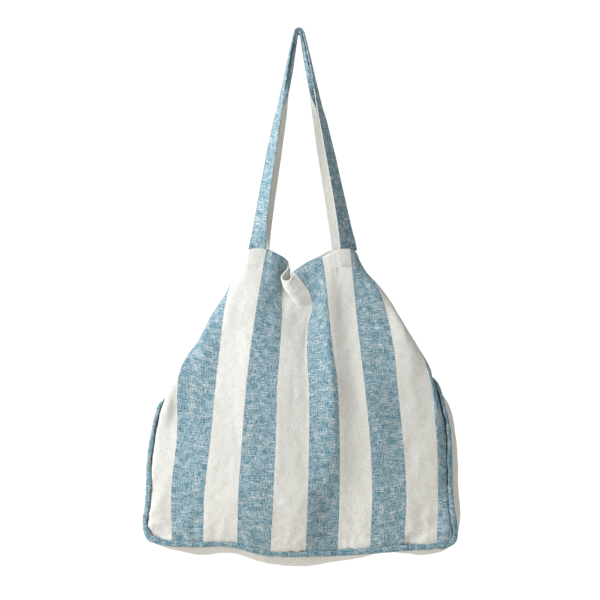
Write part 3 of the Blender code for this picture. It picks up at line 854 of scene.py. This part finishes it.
def make_strap(row, side):
    """A strap of two layers, blue outside and white inside, which bends where it leaves the hem
    and folds over lengthwise towards the hook. Its edges are grooved between the layers."""
    points, wide, climb = strap_line(side)
    along = unit(np.gradient(points, axis=0))
    out = unit(np.cross(wide, along)) * -side
    wide = unit(np.cross(along, out)) * -side
    reach = np.concatenate([[0], np.cumsum(np.linalg.norm(np.diff(points, axis=0), axis=1))])
    half = STRAP_WIDTH / 2
    # Across the strap: the blue face from the back groove to the front one, then the white back.
    face = np.array([-0.94, -0.995, -0.95, -0.84, -0.68, -0.52, -0.4, -0.28, -0.16, -0.05, 0.05,
                     0.16, 0.28, 0.4, 0.52, 0.68, 0.84, 0.95, 0.995, 0.94])
    puff = np.interp(np.abs(face), [0, 0.6, 0.95, 0.995], [0.8, 0.85, 0.95, 0.55])
    puff[0] = puff[-1] = 0
    span = np.concatenate([face, face[-2:0:-1]])
    puff = np.concatenate([puff, -puff[-2:0:-1]])
    outer = len(face) - 1
    edges = np.array([-0.86, 0.86])
    rings, rows, aways = [], [], []
    for i, place in enumerate(reach):
        sway = noise.noise(Vector((place / 0.06, side * 3.0, 2)))
        crumple = noise.noise(Vector((place / 0.012, side * 7.0, 5)))
        frame_axes = np.stack([wide[i], out[i]])
        for at, high, store in ((span, puff, rings), (edges, 1.0, rows)):
            flat, blue_side = folded_section(climb[i], at)
            flat = flat * (1 + 0.015 * crumple)
            cup = (0.8 * sway + 0.3 * crumple) * MM * (1 - 2 * at * at)
            stand = STRAP_THICKNESS / 2 * high * (1 + 0.4 * ease((climb[i] - 0.7) / 0.25)) + cup * (1 - climb[i] ** 4)
            store.append(points[i] + (flat + blue_side * stand[:, None]) @ frame_axes)
        aways.append(blue_side @ frame_axes)
    grid = np.array(rings)
    width = half * np.where(np.arange(len(span)) > outer, 2 - span, span)
    uv = np.stack(np.meshgrid(width + half, reach), 2)
    # The blue cloth wraps round the edges where the strap folds over. It is also painted shade: its darker colour
    # stands for the shade in the groove's mouth near the hook.
    slots = np.tile([0] * outer + [1] * (len(span) - outer), (len(reach) - 1, 1))
    slots[np.ix_(climb[1:] > BLUE_EDGE_AND_SHADE_FROM, np.abs(span) > 0.6)] = 0
    if side == REAR:
        grid, uv = grid[:, ::-1], uv[:, ::-1]
        slots = np.concatenate([slots[:, -2::-1], slots[:, -1:]], 1)
    ob = make_mesh(row + "_shoulder_strap", grid, uv, [BLUE, WHITE], closed=True,
                   slots=slots)
    cap_ends(ob, len(grid), len(span))
    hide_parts(row + "_strap")
    bend_with_handle(ob)
    rows, aways = np.array(rows), np.array(aways)
    for k, edge in enumerate(("back", "front")):
        ob = stitches(f"{row}_strap_{edge}_edge_stitches", rows[:, k], aways[:, k], BLUE_THREAD,
                      pitch=3.0 * MM, lift=0.0)
        bend_with_handle(ob)


def bend_with_handle(ob):
    """Bakes the piece's placement into its mesh."""
    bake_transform(ob)


# ---- Light, floor and camera ----


def area_light(name, place, target, size, power, color=(1, 1, 1)):
    light = bpy.data.lights.new(name, "AREA")
    light.energy = power
    light.size = size
    light.color = color
    ob = bpy.data.objects.new(name, light)
    ob.location = place
    ob.rotation_euler = (Vector(target) - Vector(place)).to_track_quat("-Z", "Y").to_euler()
    bpy.context.scene.collection.objects.link(ob)


def make_stage(middle):
    bpy.ops.mesh.primitive_circle_add(vertices=96, radius=FLOOR_RADIUS, fill_type="NGON",
                                      location=(middle[0], middle[1], cad_box[0][2] - FLOOR_DROP))
    floor = bpy.context.object
    floor.name = "floor"
    material = bpy.data.materials.new("pale_floor")
    n = Nodes(material)
    place = n.add("TexCoord").outputs["Object"]
    grain = n.add("TexNoise", ("Vector", place), ("Scale", 6.0)).outputs[0]
    n.put(n.shader.inputs["Base Color"], n.mix(grain, (0.88, 0.83, 0.79, 1), (0.92, 0.87, 0.83, 1)))
    n.shader.inputs["Roughness"].default_value = 0.8
    floor.data.materials.append(material)

    world = bpy.data.worlds.new("studio")
    bpy.context.scene.world = world
    world.use_nodes = True
    tree = world.node_tree
    fill = tree.nodes["Background"]
    fill.inputs["Color"].default_value = (1, 0.985, 0.92, 1)
    fill.inputs["Strength"].default_value = FILL_STRENGTH
    backdrop = tree.nodes.new("ShaderNodeBackground")
    backdrop.inputs["Color"].default_value = (1, 1, 1, 1)
    backdrop.inputs["Strength"].default_value = 1.05
    ray = tree.nodes.new("ShaderNodeLightPath")
    mix = tree.nodes.new("ShaderNodeMixShader")
    tree.links.new(ray.outputs["Is Camera Ray"], mix.inputs[0])
    tree.links.new(fill.outputs[0], mix.inputs[1])
    tree.links.new(backdrop.outputs[0], mix.inputs[2])
    tree.links.new(mix.outputs[0], tree.nodes["World Output"].inputs[0])
    bpy.context.scene.view_settings.view_transform = "Standard"

    area_light("window_light", (-2.25, -1.05, 0.5), middle, 1.3, KEY_POWER, (0.95, 0.97, 1))
    area_light("right_fill", (2.4, -1.0, 0.0), middle, 2.0, RIGHT_POWER, (0.97, 0.99, 1))
    area_light("rear_fill", (-0.8, 2.8, 0.2), middle, 2.0, REAR_POWER)


FLOOR_RADIUS = 0.95
FLOOR_DROP = 0.42
FILL_STRENGTH = 0.31
KEY_POWER = 106
RIGHT_POWER = 15
REAR_POWER = 45
FIELD_WIDTH = 0.960
CAMERA_DISTANCE = 3.0


def make_camera():
    """A long lens level with the middle of the picture, which is a little right of the hook."""
    camera = bpy.data.cameras.new("camera")
    front_y = cad_box[0][1]
    camera.sensor_width = 36
    camera.lens = 36 * CAMERA_DISTANCE / FIELD_WIDTH
    camera.clip_end = 50
    ob = bpy.data.objects.new("camera", camera)
    middle_z = (cad_box[0][2] + cad_box[1][2]) / 2
    ob.location = (0.0016, front_y - CAMERA_DISTANCE, -0.432)
    ob.rotation_euler = (pi / 2, 0, 0)
    bpy.context.scene.collection.objects.link(ob)
    bpy.context.scene.camera = ob
    return (0.0016, (front_y + cad_box[1][1]) / 2, -0.432)


for row_name, row_side in (("front", FRONT), ("rear", REAR)):
    make_panel(row_name, row_side)
    make_piping(row_name, row_side)
    make_strap(row_name, row_side)
make_gussets()
make_hems()
make_strap_ends()
make_stitching()
make_stage(make_camera())
